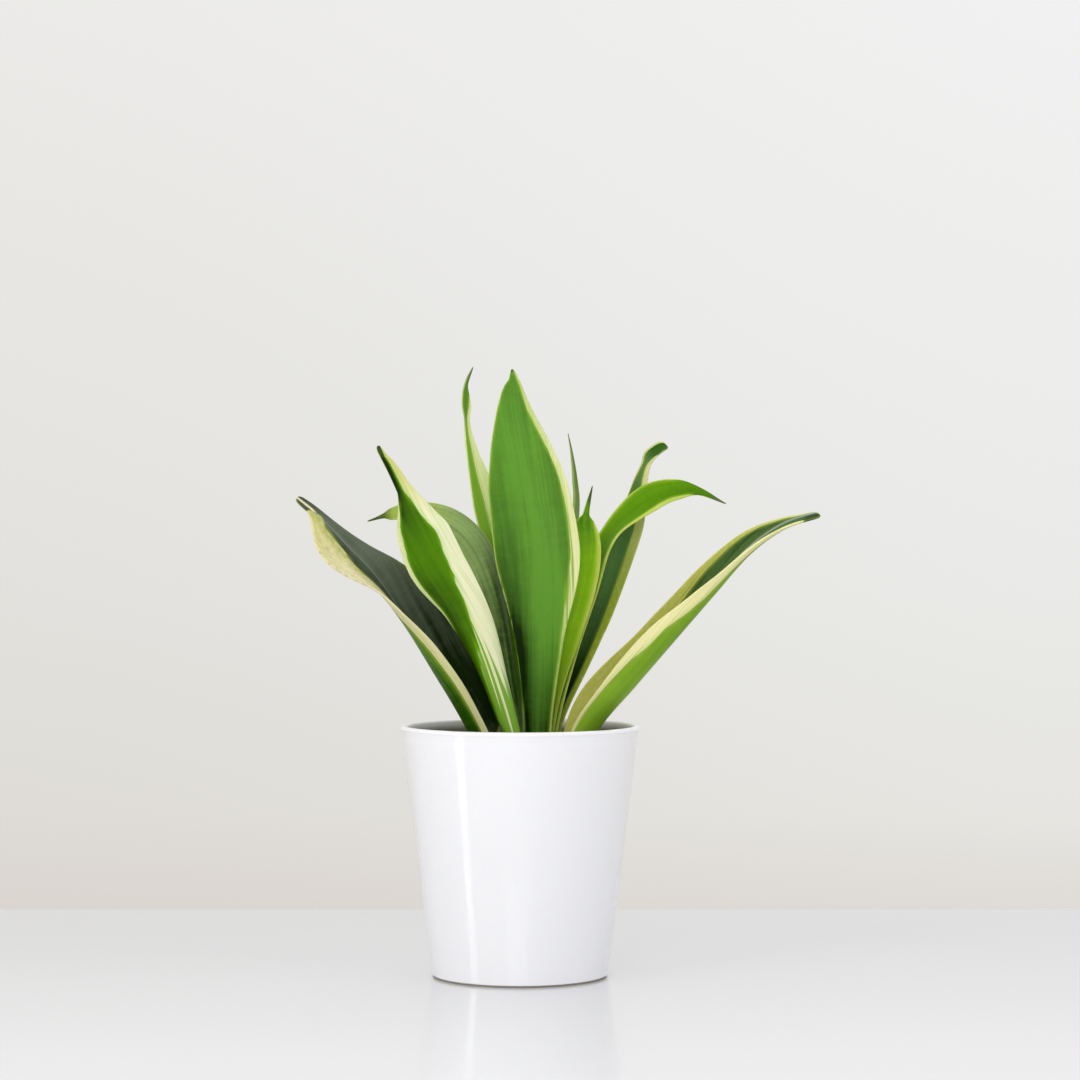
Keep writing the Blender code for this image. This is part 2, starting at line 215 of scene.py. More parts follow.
studio = {
    "tableFrom": (-1.6, -1.35), "tableTo": (1.6, 0.268), "tableThick": 0.03, "tableEdge": 0.002,
    # the table's back colour and its fade are a painted falloff of light towards the back
    "tableFront": (224, 224, 227), "tableBackShaded": (200, 200, 203), "tablePaintedFalloff": (-0.30, 0.27),
    "tableGloss": {"Coat Weight": 0.5, "Coat Roughness": 0.04}, "tableRoughness": (0.17, 0.20),
    "wallHeights": (-0.13, 0.17), "wallSides": (-0.22, 0.22),
    "wallLeft": [(0.0, (217, 210, 204)), (0.13, (222, 219, 214)), (0.37, (226, 225, 221)),
                 (1.0, (235, 234, 232))],
    "wallRight": [(0.0, (221, 216, 212)), (0.13, (230, 229, 225)), (0.37, (234, 234, 232)),
                  (1.0, (241, 241, 241))],
    "lights": {
        "key": {"place": (-0.95, -1.05, 1.20), "aim": (0, 0, 0.15), "size": (0.75, 0.75),
                "power": 5.0, "spread": True, "mirrored": False, "tint": (1.0, 0.985, 0.96)},
        "front": {"place": (-0.05, -1.00, 0.50), "aim": (0, -0.1, 0.02), "size": (0.5, 0.35),
                  "power": 2.0, "spread": True, "mirrored": True, "tint": (0.97, 0.98, 1.0)},
        "window": {"place": (-0.96, -0.55, 0.38), "aim": (0, 0, 0.30), "size": (0.17, 0.72),
                   "power": 2.2, "spread": False, "mirrored": True, "tint": (0.97, 0.985, 1.0)},
        "side": {"place": (-1.10, -0.45, 0.30), "aim": (0, 0, 0.12), "size": (0.5, 0.5),
                 "power": 0.9, "spread": True, "mirrored": False, "tint": (0.97, 0.985, 1.0)},
        "fill": {"place": (1.25, -0.90, 0.75), "aim": (0, 0, 0.12), "size": (0.9, 0.9),
                 "power": 1.3, "spread": True, "mirrored": False, "tint": (0.98, 0.99, 1.0)},
        "back": {"place": (0.30, 0.95, 1.25), "aim": (0, 0, 0.18), "size": (0.9, 0.7),
                 "power": 1.5, "spread": True, "mirrored": True, "tint": (1.0, 0.99, 0.97)},
    },
}


def makeTable():
    material, tree, shader = newMaterial("white table", studio["tableGloss"])
    place = objectPlace(tree)
    cloud = noiseAt(tree, place, (5, 5, 5))
    # the table darkens towards its back: a painted falloff of the light, a little uneven
    toBack = maths(tree, "MULTIPLY_ADD", cloud, 0.02, split(tree, place)[1])
    feed(tree, shader.inputs["Base Color"],
         mix(tree, step(tree, toBack, *studio["tablePaintedFalloff"]),
             colour(*studio["tableFront"]), colour(*studio["tableBackShaded"])))
    feed(tree, shader.inputs["Roughness"], step(tree, cloud, 0.3, 0.7, *studio["tableRoughness"]))
    x0, y0 = studio["tableFrom"]
    x1, y1 = studio["tableTo"]
    bm = bmesh.new()
    bmesh.ops.create_cube(bm, size=1)
    for v in bm.verts:
        v.co = ((x0 + x1) / 2 + v.co.x * (x1 - x0), (y0 + y1) / 2 + v.co.y * (y1 - y0),
                (v.co.z - 0.5) * studio["tableThick"])
    bmesh.ops.bevel(bm, geom=list(bm.edges), offset=studio["tableEdge"], segments=4, profile=0.5,
                    affect="EDGES")
    mesh = bpy.data.meshes.new("table")
    bm.to_mesh(mesh)
    bm.free()
    table = addPiece("table", mesh, [material])


def makeLight(name, light):
    lamp = bpy.data.lights.new(name, "AREA")
    lamp.shape = "RECTANGLE"
    lamp.size, lamp.size_y = light["size"]
    lamp.energy = light["power"]
    lamp.color = light["tint"]
    lampObject = bpy.data.objects.new(name, lamp)
    lampObject.location = light["place"]
    lampObject.visible_camera = False
    lampObject.visible_glossy = light["mirrored"]
    lampObject.visible_diffuse = light["spread"]
    away = Vector(light["aim"]) - Vector(light["place"])
    lampObject.rotation_euler = away.to_track_quat("-Z", "Y").to_euler()
    bpy.context.scene.collection.objects.link(lampObject)


def makeWall():
    world = bpy.data.worlds.new("pale wall")
    bpy.context.scene.world = world
    world.use_nodes = True
    tree = world.node_tree
    direction = tree.nodes.new("ShaderNodeTexCoord").outputs["Generated"]
    sideways, _, height = split(tree, direction)
    height = step(tree, height, *studio["wallHeights"], smooth=False)
    left = colourRamp(tree, height, studio["wallLeft"])
    right = colourRamp(tree, height, studio["wallRight"])
    shade = mix(tree, step(tree, sideways, *studio["wallSides"]), left, right)
    background = tree.nodes["Background"]
    feed(tree, background.inputs["Color"], shade)


makeTable()
makeWall()
for lightName, light in studio["lights"].items():
    makeLight(lightName, light)
bpy.context.scene.view_settings.view_transform = "Standard"
bpy.context.scene.view_settings.look = "None"
print("studio: table, wall and", len(studio["lights"]), "lights")


# pot: a turned cup under a thick white glaze, bare on its foot

pot = {
    "height": 125.0, "rimRadius": 60.0, "heelRadius": 44.0, "wall": 3.5, "floor": 6.0,
    "footHeight": 0.8, "footSetBack": 0.7, "footRing": 3.9, "footHollow": 0.35, "footEdge": 0.25,
    "heelRounding": 0.8, "innerCorner": 5.0,
    "grooveHeight": 119.8, "grooveWidth": 1.4, "grooveDepth": 0.08,
    "segments": 256, "fineFrom": 112.0, "fineGap": 0.6,
    "gloss": {"Coat Roughness": 0.015, "Subsurface Weight": 0.06, "Subsurface Scale": 0.002},
    "glaze": (243, 243, 246), "glazeCloud": (238, 239, 243), "glazeThin": (230, 226, 218),
    # the last colour on the next line, and the second pair of heights below it, are painted shade
    # on the inner wall
    "speck": (150, 135, 115), "paintedWallShade": (114, 110, 86),
    "thinHeights": (121.5, 124.5), "paintedWallShadeHeights": (127.4, 121.4),
    "bareClay": (152, 142, 128), "clayGrain": (168, 154, 136),
}


def arc(centreR, centreZ, radius, start, end, steps):
    angles = np.radians(np.linspace(start, end, steps + 1))
    return [(centreR + radius * math.cos(a), centreZ + radius * math.sin(a)) for a in angles]


def outerRadius(height):
    return pot["heelRadius"] + (pot["rimRadius"] - pot["heelRadius"]) * height / pot["height"]


def innerRadius(height):
    return outerRadius(height) - pot["wall"]


def turnedMesh(name, profile, segments):
    # the profile of (radius, height) starts and ends on the axis
    bm = bmesh.new()
    angles = [2 * math.pi * k / segments for k in range(segments)]
    rings = []
    for radius, height in profile:
        if radius < 1e-6:
            rings.append([bm.verts.new((0, 0, height * mm))] * segments)
        else:
            ring = [(radius * math.cos(a), radius * math.sin(a), height) for a in angles]
            rings.append([bm.verts.new([value * mm for value in point]) for point in ring])
    for lower, upper in zip(rings, rings[1:]):
        for k in range(segments):
            n = (k + 1) % segments
            corners = list(dict.fromkeys([lower[k], lower[n], upper[n], upper[k]]))
            bm.faces.new(corners)
    bmesh.ops.recalc_face_normals(bm, faces=bm.faces)
    mesh = bpy.data.meshes.new(name)
    bm.to_mesh(mesh)
    bm.free()
    mesh.shade_smooth()
    return mesh


def glazeMaterial():
    material, tree, shader = newMaterial("white glaze", pot["gloss"])
    place = objectPlace(tree)
    across, forward, height = split(tree, place)
    cloud = noiseAt(tree, place, (24, 24, 10), detail=3)

    # painted shade is on the inner side of the wall only, up from the soil, darkest low down and
    # fading towards the rim
    squares = maths(tree, "ADD", maths(tree, "POWER", across, 2.0),
                    maths(tree, "POWER", forward, 2.0))
    outward = maths(tree, "POWER", squares, 0.5)
    taper = (pot["rimRadius"] - pot["heelRadius"]) / pot["height"]
    wallMiddle = maths(tree, "MULTIPLY_ADD", height, taper,
                       (pot["heelRadius"] - pot["wall"] / 2) * mm)
    isInside = step(tree, maths(tree, "SUBTRACT", outward, wallMiddle), -0.5 * mm, -1.0 * mm)
    paintedShadeFrom, paintedShadeTo = [h * mm for h in pot["paintedWallShadeHeights"]]
    wavyHeight = maths(tree, "MULTIPLY_ADD", cloud, 0.004, height)
    paintedWallShade = maths(tree, "MULTIPLY", isInside, step(tree, wavyHeight, paintedShadeFrom, paintedShadeTo))

    # the glaze is thin and warmer round the rim
    thinFrom, thinTo = [h * mm for h in pot["thinHeights"]]
    thin = maths(tree, "MULTIPLY", step(tree, height, thinFrom, thinTo),
                 step(tree, cloud, 0.35, 0.75, 0.1, 0.5))
    specks = step(tree, noiseAt(tree, place, (900, 900, 900), detail=0), 0.80, 0.84)
    base = mix(tree, step(tree, cloud, 0.3, 0.7, 0.0, 0.25),
               colour(*pot["glaze"]), colour(*pot["glazeCloud"]))
    base = mix(tree, thin, base, colour(*pot["glazeThin"]))
    base = mix(tree, maths(tree, "MULTIPLY", specks, 0.06), base, colour(*pot["speck"]))
    # painted shade darkens the inner wall towards the soil
    base = mix(tree, maths(tree, "MULTIPLY", paintedWallShade, 0.95), base, colour(*pot["paintedWallShade"]))
    roughness = step(tree, cloud, 0.25, 0.75, 0.14, 0.20)
    # where shade is painted, the inner wall is also rougher and less glossy
    roughness = maths(tree, "MULTIPLY_ADD", paintedWallShade, 0.4, roughness)
    feed(tree, shader.inputs["Coat Weight"], maths(tree, "MULTIPLY_ADD", paintedWallShade, -0.6, 0.6))
    feed(tree, shader.inputs["Specular IOR Level"], maths(tree, "MULTIPLY_ADD", paintedWallShade, -0.4, 0.5))
    wave = noiseAt(tree, place, (55, 55, 38))
    orangePeel = noiseAt(tree, place, (420, 420, 420), detail=1)
    height = maths(tree, "MULTIPLY_ADD", orangePeel, 0.03, wave)
    dress(tree, shader, base, roughness, height, 0.00010)
    return material


def bareClayMaterial():
    material, tree, shader = newMaterial("bare clay", {})
    grain = noiseAt(tree, objectPlace(tree), (1400, 1400, 1400), detail=3, rough=0.7)
    base = mix(tree, step(tree, grain, 0.3, 0.75),
               colour(*pot["bareClay"]), colour(*pot["clayGrain"]))
    dress(tree, shader, base, 0.8, grain, 0.00008)
    return material


def makePot():
    foot = pot["heelRadius"] - pot["footSetBack"]
    ring = foot - pot["footRing"]
    hollow, edge = pot["footHollow"], pot["footEdge"]
    heelZ = pot["footHeight"] + pot["heelRounding"]
    lip = pot["wall"] / 2
    lipZ = pot["height"] - lip
    lipR = pot["rimRadius"] - lip
    cornerZ = pot["floor"] + pot["innerCorner"]

    # the rings stand closer where the groove runs
    fineFrom, gap = pot["fineFrom"], pot["fineGap"]
    wallHeights = [*np.linspace(heelZ + 1.5, fineFrom, 40),
                   *np.linspace(fineFrom + gap, lipZ - gap, 26)]
    innerHeights = np.linspace(lipZ - 0.8, cornerZ + 1, 40)
    profile = [(0, hollow), (ring - 0.3, hollow), (ring, 0),
               (foot - edge, 0), (foot, edge), (foot, pot["footHeight"])]
    profile += arc(outerRadius(heelZ) - pot["heelRounding"], heelZ, pot["heelRounding"], -80, 0, 8)
    for z in wallHeights:
        fromGroove = (z - pot["grooveHeight"]) / pot["grooveWidth"]
        profile.append((outerRadius(z) - pot["grooveDepth"] * math.exp(-fromGroove**2), z))
    profile += arc(lipR, lipZ, lip, 0, 180, 20)
    profile += [(innerRadius(z), z) for z in innerHeights]
    cornerR = innerRadius(cornerZ) - pot["innerCorner"]
    profile += arc(cornerR, cornerZ, pot["innerCorner"], 0, -90, 10)
    profile += [(0, pot["floor"])]
    mesh = turnedMesh("glazed pot", profile, pot["segments"])
    for face in mesh.polygons:
        face.material_index = 1 if face.center.z < pot["footHeight"] * mm else 0
    addPiece("glazed_pot", mesh, [glazeMaterial(), bareClayMaterial()], "pot", "white_glaze")


makePot()
print("pot: turned, grooved under the lip and glazed")


# leaves: sword blades with cream margins, each folded along its middle

blade = {
    "bodyStations": 120, "tipFrom": 0.86, "tipStations": 60, "curveSteps": 24, "lookAhead": 0.012,
    "columns": 13, "rimColumns": 4, "rimWidth": 1.0, "weld": 0.002,
    "thickness": [(0, 3.2), (0.35, 2.4), (0.8, 1.7), (1, 1.1)],
    "margin": 0.9, "bendShare": 0.75, "tipRounding": 0.9,
    "ripple": 0.35, "rippleLength": 13.0, "shortRipple": 5.1,
    "skin": {"Subsurface Weight": 0.08, "Subsurface Scale": 0.001,
             "Subsurface Radius": (0.6, 1.0, 0.25),
             "Specular IOR Level": 0.16, "Specular Tint": (0.85, 1.0, 0.5, 1.0)},
    "border": {"creamMost": 9.0, "wander": (0.35, 0.2), "ragged": (0.35, 0.4), "limeWidth": 1.6},
    "lines": {"level": 0.73, "softness": 0.03, "strength": 0.92},
    "blotches": {"level": 0.73, "softness": 0.18, "strength": 0.6},
    # the grey-green at the end of the next line paints a highlight along the midrib
    "bleed": (2.5, 0.3), "ivory": (246, 242, 214), "ribHighlightColour": (150, 160, 150),
}

# A spine runs through points in millimetres. Every other list holds pairs: a share of the length
# from base to tip, and a value there. Half widths and cream margins are in millimetres, turns and
# folds in degrees, and tones are strengths. A right side with no half widths or folds of its own
# has those of the left.

# The tones that darken a blade towards the second, dark colour of its pair, along it and on each
# side, are painted shade between the leaves and near the soil; below zero they are painted light.
leafCenterTall = {
    "node": "leaf_center_tall", "seed": 1,
    "spine": [(8.5, 6, 93.5), (9, 6, 121.5), (9.5, 6, 167.5), (8.5, 8, 207.5), (3, 12, 250.5),
              (-2.5, 15, 283), (-4, 16, 304)],
    "left": [(0, 7), (0.14, 8.5), (0.34, 13.5), (0.56, 22), (0.7, 20.8), (0.8, 16.8), (0.9, 9.9),
             (0.958, 5.0), (0.975, 2.4), (1, 0.6)],
    "right": [(0, 7), (0.14, 8), (0.34, 13), (0.56, 22.3), (0.7, 20.5), (0.8, 15.3), (0.9, 8.5),
              (0.965, 4.0), (1, 0.7)],
    "turn": [(0, 0), (1, 0)],
    "foldLeft": [(0, 60), (0.3, 45), (0.6, 22), (1, 10)],
    "foldRight": [(0, 60), (0.3, 35), (0.6, 14), (1, 14)],
    "creamLeft": [(0, 0), (0.36, 0), (0.45, 0.3), (0.8, 0.4), (0.95, 0.4), (1, 0)],
    "creamRight": [(0, 0.6), (0.3, 0.9), (0.38, 1.8), (0.5, 5.5), (0.7, 3.5), (0.9, 2.2), (1, 0.5)],
    "inner": ((92, 148, 44), (8, 34, 0)), "outer": ((92, 146, 36), (20, 50, 2)),
    "cream": (226, 226, 168), "lime": (150, 182, 56), "olive": (160, 190, 96), "tip": (64, 92, 40),
    "oliveLeft": [(0, 1), (0.8, 1), (0.9, 0.4), (1, 0)],
    "oliveRight": [(0, 1), (0.3, 1), (0.42, 0.3), (0.5, 0), (0.75, 0.1), (0.9, 0.5), (1, 0.6)],
    "paintedShading": [(0, 0.9), (0.2, 0.4), (0.35, 0.0), (0.42, -0.18), (0.5, -0.08), (0.7, 0.06), (1, 0.1)],
    "paintedShadingLeft": [(0, 0.4), (0.2, 0.8), (0.35, 1.35), (0.5, 1.0), (0.67, 0.25), (0.85, -0.05),
                 (1, 0)],
    "paintedShadingRight": [(0, 0.4), (0.3, 0.1), (0.5, 0.25), (0.7, 0.15), (1, 0.1)],
    "streaks": [(0, 0.2), (0.3, 0.3), (0.5, 0.85), (0.6, 0.5), (0.75, 0.05), (1, 0)],
    "veins": 1.3, "tipReach": 1.6,
}

leafBackSlender = {
    "node": "leaf_back_slender", "seed": 2,
    "spine": [(-2, 17, 92.5), (-2.5, 18, 121), (-4, 22, 161.5), (-9, 29, 202), (-18.5, 36, 238),
              (-26, 41, 266.5), (-28, 44, 284.5), (-28.2, 46, 297), (-24.5, 48, 307)],
    "left": [(0, 6), (0.14, 6.5), (0.45, 10), (0.65, 8.4), (0.8, 3.4), (0.87, 1.8), (0.905, 3.2),
             (0.93, 2.6), (0.952, 1.4), (0.98, 0.9), (1, 0.3)],
    "turn": [(0, 25), (0.5, 18), (0.8, 30), (0.88, 42), (1, 60)],
    "foldLeft": [(0, 60), (0.5, 35), (1, 15)],
    "creamLeft": [(0, 0.4), (0.8, 0.3), (0.88, 0), (1, 0)],
    "creamRight": [(0, 1), (0.4, 5), (0.55, 10.4), (0.7, 8.2), (0.8, 3.6), (0.9, 1.6), (0.94, 0),
                   (1, 0)],
    "inner": ((128, 182, 36), (44, 98, 0)), "outer": ((112, 160, 46), (50, 96, 10)),
    "cream": (226, 232, 168), "lime": (166, 196, 84), "tip": (92, 112, 74),
    "paintedShading": [(0, 0.9), (0.4, 0.5), (0.55, 0.3), (0.65, 0.15), (0.8, 0.25), (0.9, 0.55), (1, 0.7)],
    "yellow": [(0, 0.1), (0.7, 0.3), (1, 0.1)],
    "streaks": [(0, 0.5), (1, 0.2)],
    "tipReach": 7.0,
}

leafLeftTwisted = {
    "node": "leaf_left_twisted", "seed": 3,
    "spine": [(1.5, -9, 94.5), (-3.5, -11, 122.5), (-14.5, -17, 158), (-26.5, -23, 185.5),
              (-40.5, -29, 207.5), (-52, -33, 229.5), (-62, -37, 250.5), (-69, -39, 263.5)],
    "left": [(0, 7), (0.16, 7), (0.4, 11.2), (0.53, 11.9), (0.6, 13.2), (0.66, 14.2), (0.72, 14.6),
             (0.775, 11.6), (0.83, 8.2), (0.87, 6.4), (0.945, 4.2), (0.97, 2.4), (1, 1.1)],
    "right": [(0, 5), (0.13, 5), (0.2, 8), (0.35, 9.8), (0.5, 12), (0.65, 15.5), (0.76, 12),
              (0.83, 5), (0.87, 2.2), (0.985, 2.0), (1, 1.2)],
    "turn": [(0, 205), (0.3, 200), (0.6, 190), (0.8, 190), (0.9, 210), (1, 230)],
    "foldLeft": [(0, 80), (0.3, 60), (0.6, 25), (1, 15)],
    "foldRight": [(0, 85), (0.3, 75), (0.6, 25), (1, 15)],
    "creamLeft": [(0, 7), (0.15, 10), (0.36, 15), (0.47, 13), (0.53, 11.6), (0.6, 10.6),
                  (0.66, 9.4), (0.72, 8.0), (0.78, 7.0), (0.83, 5.8), (0.87, 5.2), (0.945, 3.4),
                  (1, 0.4)],
    "creamRight": [(0, 0), (0.42, 0), (0.5, 0.8), (0.6, 1.8), (0.75, 2.5), (0.82, 1), (0.86, 0),
                   (1, 0)],
    "inner": ((84, 126, 44), (26, 52, 8)), "outer": ((74, 124, 2), (12, 32, 0)),
    "cream": (240, 240, 200), "lime": (118, 180, 12), "olive": (216, 210, 120), "tip": (54, 76, 34),
    "oliveLeft": [(0, 0), (0.75, 0), (0.9, 0.8), (1, 1)],
    "oliveRight": [(0, 0.2), (0.7, 0.3), (1, 0.5)],
    "paintedShading": [(0, 0.2), (0.22, -0.2), (0.32, -0.3), (0.42, -0.15), (0.55, 0.08), (0.66, 0.05),
             (0.8, 0.3), (0.95, 0.75), (1, 1)],
    "paintedShadingLeft": [(0, -0.3), (0.3, -0.5), (0.5, 0), (1, 0)],
    "paintedShadingRight": [(0, 0.9), (0.25, 0.9), (0.38, 0.85), (0.5, 0.75), (0.6, 0.8), (0.68, 0.35),
                  (0.75, 0.25), (0.85, 0.8), (1, 1)],
    "yellow": [(0, 0.5), (0.3, 0.5), (0.45, 0.1), (1, 0)],
    "streaks": [(0, 1.9), (0.2, 1.6), (0.3, 1.15), (0.4, 0.8), (0.48, 0.3), (0.55, 0.05), (1, 0)],
    "veins": 1.6, "tipReach": 6.0,
}

leafLeftDrooping = {
    "node": "leaf_left_drooping", "seed": 4,
    "spine": [(1, -1, 94), (-0.5, 0, 122), (-5.5, 2, 157.5), (-11, 5, 187.5), (-20.5, 9, 213),
              (-35, 15, 228), (-56, 21, 233), (-78, 27, 227)],
    "left": [(0, 6), (0.16, 7), (0.4, 10.5), (0.6, 11), (0.75, 9), (0.88, 5.4), (0.93, 3.8),
             (0.955, 1.3), (1, 0.3)],
    "right": [(0, 6), (0.16, 7), (0.4, 10.5), (0.6, 14), (0.75, 11), (0.88, 5.6), (0.93, 3.8),
              (0.955, 1.3), (1, 0.3)],
    "turn": [(0, 255), (0.4, 240), (0.7, 215), (1, 215)],
    "foldLeft": [(0, 65), (0.5, 40), (1, 20)],
    "creamLeft": [(0, 0), (0.4, 0.5), (0.9, 0.9), (0.94, 0), (1, 0)],
    "creamRight": [(0, 0.4), (0.7, 0.5), (0.9, 1.5), (0.94, 0), (1, 0)],
    "inner": ((100, 146, 62), (34, 70, 14)), "outer": ((136, 162, 96), (26, 58, 0)),
    "cream": (190, 202, 124), "lime": (158, 178, 66), "tip": (62, 76, 42),
    "paintedShading": [(0, 0.9), (0.2, 0.8), (0.35, 0.85), (0.5, 0.75), (0.6, 0.25), (0.7, 0.02),
             (0.92, 0.05), (0.95, 0.8), (1, 1)],
    "paintedShadingLeft": [(0, 0), (0.5, 0), (0.6, 0.2), (0.75, 0.15), (1, 0)],
    "yellow": [(0, 0), (0.72, 0), (0.84, 0.7), (0.95, 0.9), (1, 0.5)],
    "streaks": [(0, 0.3), (1, 0.2)],
    "veins": 2.4, "tipReach": 6.0,
}

leafLeftOuter = {
    "node": "leaf_left_outer", "seed": 5,
    "spine": [(-14, -5, 94.5), (-24.7, -8, 122.5), (-44, -14, 156), (-57.5, -20, 179),
              (-71.5, -27, 200), (-85.5, -33, 215.5), (-98, -38, 229), (-108.5, -42, 238)],
    "left": [(0, 10), (0.16, 12), (0.4, 14), (0.62, 14), (0.75, 22), (0.83, 26), (0.88, 22.5),
             (0.93, 9), (0.95, 3.6), (0.985, 2.8), (1, 1.4)],
    "right": [(0, 10), (0.1, 12.5), (0.16, 24), (0.35, 29), (0.52, 26), (0.64, 18.5), (0.76, 9),
              (0.9, 4), (0.985, 2.6), (1, 1.2)],
    "turn": [(0, 95), (0.3, 88), (0.6, 68), (0.8, 50), (1, 50)],
    "foldLeft": [(0, 85), (0.35, 75), (0.7, 30), (1, 15)],
    "foldRight": [(0, 85), (0.35, 85), (0.7, 50), (1, 30)],
    "creamLeft": [(0, 2.6), (0.3, 3.2), (0.5, 4.5), (0.65, 8), (0.75, 14.5), (0.84, 22), (0.9, 17),
                  (0.945, 3), (0.96, 0), (1, 0)],
    "creamRight": [(0, 0.5), (0.6, 0.4), (0.75, 0), (1, 0)],
    "inner": ((98, 108, 92), (10, 34, 0)), "outer": ((100, 150, 30), (30, 72, 2)),
    "cream": (240, 229, 190), "lime": (172, 182, 78), "olive": (228, 218, 144), "tip": (48, 64, 34),
    "oliveLeft": [(0, 0), (0.5, 0.05), (0.75, 0.1), (0.88, 0.7), (0.95, 0.9), (1, 0)],
    "paintedShading": [(0, 1), (0.2, 1), (0.35, 0.92), (0.5, 0.66), (0.65, 0.6), (0.78, 0.6), (0.88, 0.4),
             (0.95, 0.5), (1, 0.6)],
    "paintedShadingLeft": [(0, -0.3), (0.3, -0.45), (0.5, -0.3), (0.65, 0.5), (0.8, 0.8), (1, 0)],
    "paintedShadingRight": [(0, 0), (0.5, -0.1), (0.6, -0.7), (0.75, -0.9), (0.85, -0.6), (1, 0)],
    "streaks": [(0, 0.1), (0.6, 0.3), (0.8, 0.9), (0.9, 0.9), (1, 0)],
    "stripe": [(0, 0), (0.925, 0), (0.945, 0.9), (1, 0.8)],
    # this leaf has a painted highlight along its midrib
    "veins": 2.0, "bleed": (9.0, 0.45), "blotch": True, "ribHighlight": 0.35, "ribHighlightPlace": 0.0,
    "tipReach": 0.8,
}

leafBackSliver = {
    "node": "leaf_back_sliver", "seed": 6,
    "spine": [(5, 29, 91.5), (8, 30, 120), (16.5, 34, 161.5), (24.5, 41, 202), (28.5, 48, 233),
              (28, 51, 248.5), (26.5, 53, 261.5), (24.5, 55, 273)],
    "left": [(0, 4), (0.2, 5), (0.5, 4), (0.7, 2.4), (0.85, 1.6), (0.95, 0.7), (1, 0.2)],
    "turn": [(0, -15), (0.6, 10), (1, 30)],
    "foldLeft": [(0, 45), (1, 20)],
    "creamLeft": [(0, 1), (0.8, 0.8), (1, 0)],
    "creamRight": [(0, 0), (1, 0)],
    "inner": ((142, 170, 98), (64, 92, 34)), "outer": ((120, 150, 70), (50, 80, 24)),
    "cream": (176, 196, 112), "lime": (124, 150, 64), "tip": (88, 106, 76),
    "paintedShading": [(0, 0.9), (0.5, 0.4), (0.7, 0.25), (0.9, 0.7), (1, 0.8)],
    "paintedShadingLeft": [(0, 0.3), (1, 0.3)],
    "tipReach": 9.0,
}

leafCenterShort = {
    "node": "leaf_center_short", "seed": 7,
    "spine": [(11.5, 11, 93), (12.5, 11, 121.5), (16.5, 12, 147), (23, 13, 169.5),
              (29.5, 14, 192.5), (33, 14, 212.5), (33, 15, 228.5), (36.5, 15, 245)],
    "left": [(0, 5), (0.2, 6), (0.5, 8.5), (0.7, 9), (0.82, 7.5), (0.88, 4.6), (0.905, 1.7),
             (0.95, 1.0), (1, 0.25)],
    "turn": [(0, -12), (0.5, -5), (1, 0)],
    "foldLeft": [(0, 55), (0.6, 30), (1, 10)],
    "creamLeft": [(0, 1.4), (0.4, 1.4), (0.6, 0.5), (0.85, 0.3), (1, 0)],
    "creamRight": [(0, 0.8), (0.5, 1.6), (0.75, 2.2), (0.85, 1.2), (0.9, 0), (1, 0)],
    "inner": ((144, 200, 14), (48, 110, 0)), "outer": ((112, 152, 30), (56, 100, 4)),
    "cream": (182, 200, 78), "lime": (156, 184, 50), "tip": (56, 84, 44),
    "paintedShading": [(0, 0.6), (0.2, 0.2), (0.4, -0.1), (0.6, 0.05), (0.75, 0.2), (0.88, 0.7), (1, 0.8)],
    "paintedShadingLeft": [(0, 0.1), (0.6, 0.1), (0.75, 0.4), (1, 0.2)],
    "paintedShadingRight": [(0, 0.2), (0.6, -0.1), (1, 0)],
    "yellow": [(0, 0.5), (0.4, 0.6), (0.6, 0.2), (1, 0)],
    "streaks": [(0, 0.2), (0.5, 0.9), (0.75, 0.6), (1, 0)],
    "veins": 1.8, "tipReach": 9.0,
}

leafRightDrooping = {
    "node": "leaf_right_drooping", "seed": 8,
    "spine": [(13, 17, 92.5), (14.5, 18, 121), (23, 21, 156.5), (34.5, 24, 192), (43, 27, 215),
              (54, 30, 229), (70, 34, 240.5), (88.5, 36, 243), (105.5, 37, 236)],
    "left": [(0, 6), (0.2, 6.5), (0.5, 7), (0.65, 6.5), (0.78, 8.0), (0.87, 5.6), (0.925, 2.2),
             (0.96, 1.2), (1, 0.25)],
    "turn": [(0, -15), (0.5, -30), (0.65, -45), (0.8, -20), (1, -20)],
    "foldLeft": [(0, 55), (0.6, 25), (1, 15)],
    "creamLeft": [(0, 0.8), (0.6, 1.2), (0.72, 0.8), (0.85, 0.4), (0.9, 0), (1, 0)],
    "creamRight": [(0, 0.8), (0.7, 0.9), (0.82, 2.2), (0.88, 1.4), (0.92, 0), (1, 0)],
    "inner": ((96, 150, 0), (44, 94, 0)), "outer": ((94, 146, 2), (46, 92, 0)),
    "cream": (192, 206, 98), "lime": (160, 192, 50), "tip": (84, 104, 58),
    "paintedShading": [(0, 0.7), (0.4, 0.35), (0.6, 0.15), (0.8, 0.2), (0.9, 0.4), (1, 0.6)],
    "paintedShadingRight": [(0, 0.1), (0.7, 0.25), (1, 0.1)],
    "yellow": [(0, 0), (0.6, 0.15), (0.8, 0), (1, 0)],
    "streaks": [(0, 0.2), (1, 0.2)],
    "veins": 1.5, "tipReach": 8.0,
}

